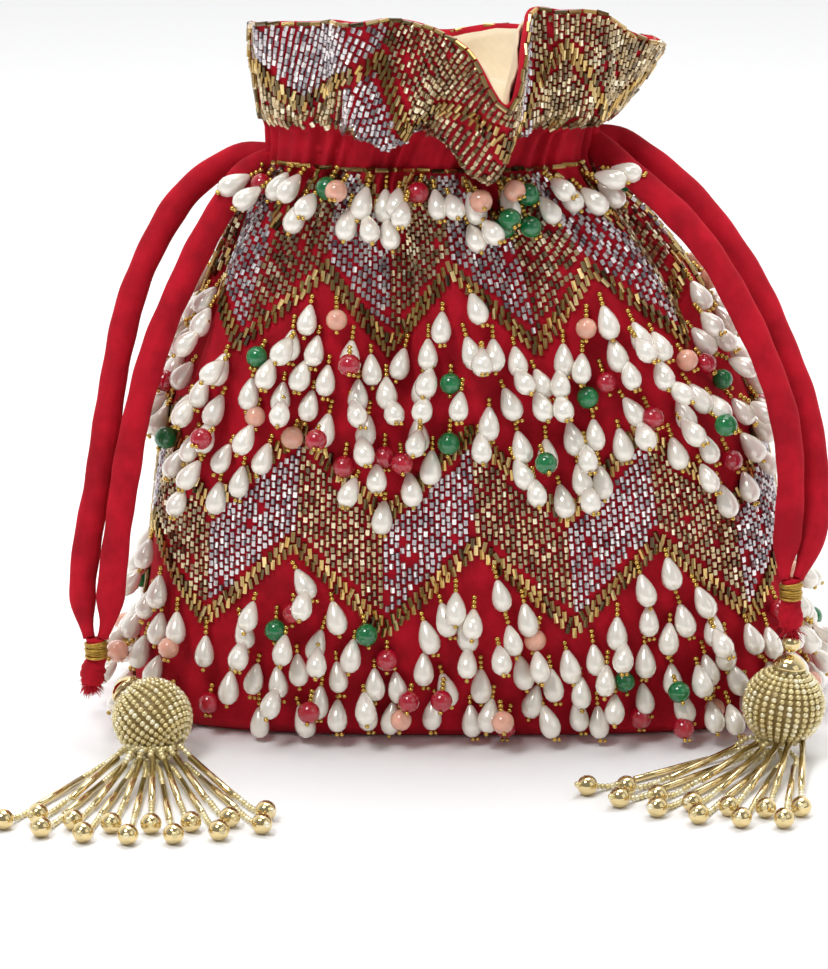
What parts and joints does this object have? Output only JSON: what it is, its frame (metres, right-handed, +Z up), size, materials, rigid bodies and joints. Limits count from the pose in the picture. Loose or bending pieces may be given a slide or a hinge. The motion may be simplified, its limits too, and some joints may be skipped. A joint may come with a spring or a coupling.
{
  "type": "potli bag",
  "caption": "Drawstring potli bag in beaded red velvet: gathered neck with a ruffle, two velvet drawcords and beaded ball tassels that swivel.",
  "frame": {"origin": "middle of the base panel's underside, on the surface that the bag stands on", "axes": "+Z up, the beaded front faces -Y, +X to the right of the front"},
  "size_m": [0.2375, 0.174, 0.2164],
  "materials": {
    "velvet": "deep red velvet with bead embroidery",
    "lining": "beige satin",
    "cord_velvet": "crimson velvet piping",
    "gold_thread": "metallic gold thread",
    "polished_gold": "polished gold-coloured plating",
    "gold_seed_beads": "gold-lined glass seed beads"
  },
  "bodies": {
    "bag": {"front_panel": "velvet", "back_panel": "velvet", "base_panel": "velvet", "lining_pouch": "lining", "left_drawcord": "cord_velvet", "right_drawcord": "cord_velvet", "left_cord_binding": "gold_thread", "right_cord_binding": "gold_thread", "left_cord_fray": "cord_velvet", "right_cord_fray": "cord_velvet"},
    "left_tassel": {"left_tassel_cap": "polished_gold", "left_tassel_ball": "gold_seed_beads", "left_strand_01": "gold_seed_beads", "left_strand_02": "gold_seed_beads", "left_strand_03": "gold_seed_beads", "left_strand_04": "gold_seed_beads", "left_strand_05": "gold_seed_beads", "left_strand_06": "gold_seed_beads", "left_strand_07": "gold_seed_beads", "left_strand_08": "gold_seed_beads", "left_strand_09": "gold_seed_beads", "left_strand_10": "gold_seed_beads", "left_strand_11": "gold_seed_beads", "left_strand_12": "gold_seed_beads", "left_strand_13": "gold_seed_beads", "left_strand_14": "gold_seed_beads"},
    "right_tassel": {"right_tassel_cap": "polished_gold", "right_tassel_ball": "gold_seed_beads", "right_thread_bead": "polished_gold", "right_strand_01": "gold_seed_beads", "right_strand_02": "gold_seed_beads", "right_strand_03": "gold_seed_beads", "right_strand_04": "gold_seed_beads", "right_strand_05": "gold_seed_beads", "right_strand_06": "gold_seed_beads", "right_strand_07": "gold_seed_beads", "right_strand_08": "gold_seed_beads", "right_strand_09": "gold_seed_beads", "right_strand_10": "gold_seed_beads", "right_strand_11": "gold_seed_beads", "right_strand_12": "gold_seed_beads"}
  },
  "joints": [
    {"name": "left_tassel_swivel", "type": "hinge", "parent": "bag", "child": "left_tassel", "pos_m": [-0.1034, -0.046, 0.012], "axis": [0, 0, 1], "range_deg": [-60, 20]},
    {"name": "right_tassel_swivel", "type": "hinge", "parent": "bag", "child": "right_tassel", "pos_m": [0.0926, -0.0516, 0.016], "axis": [0, 0, 1], "range_deg": [-15, 80]}
  ]
}
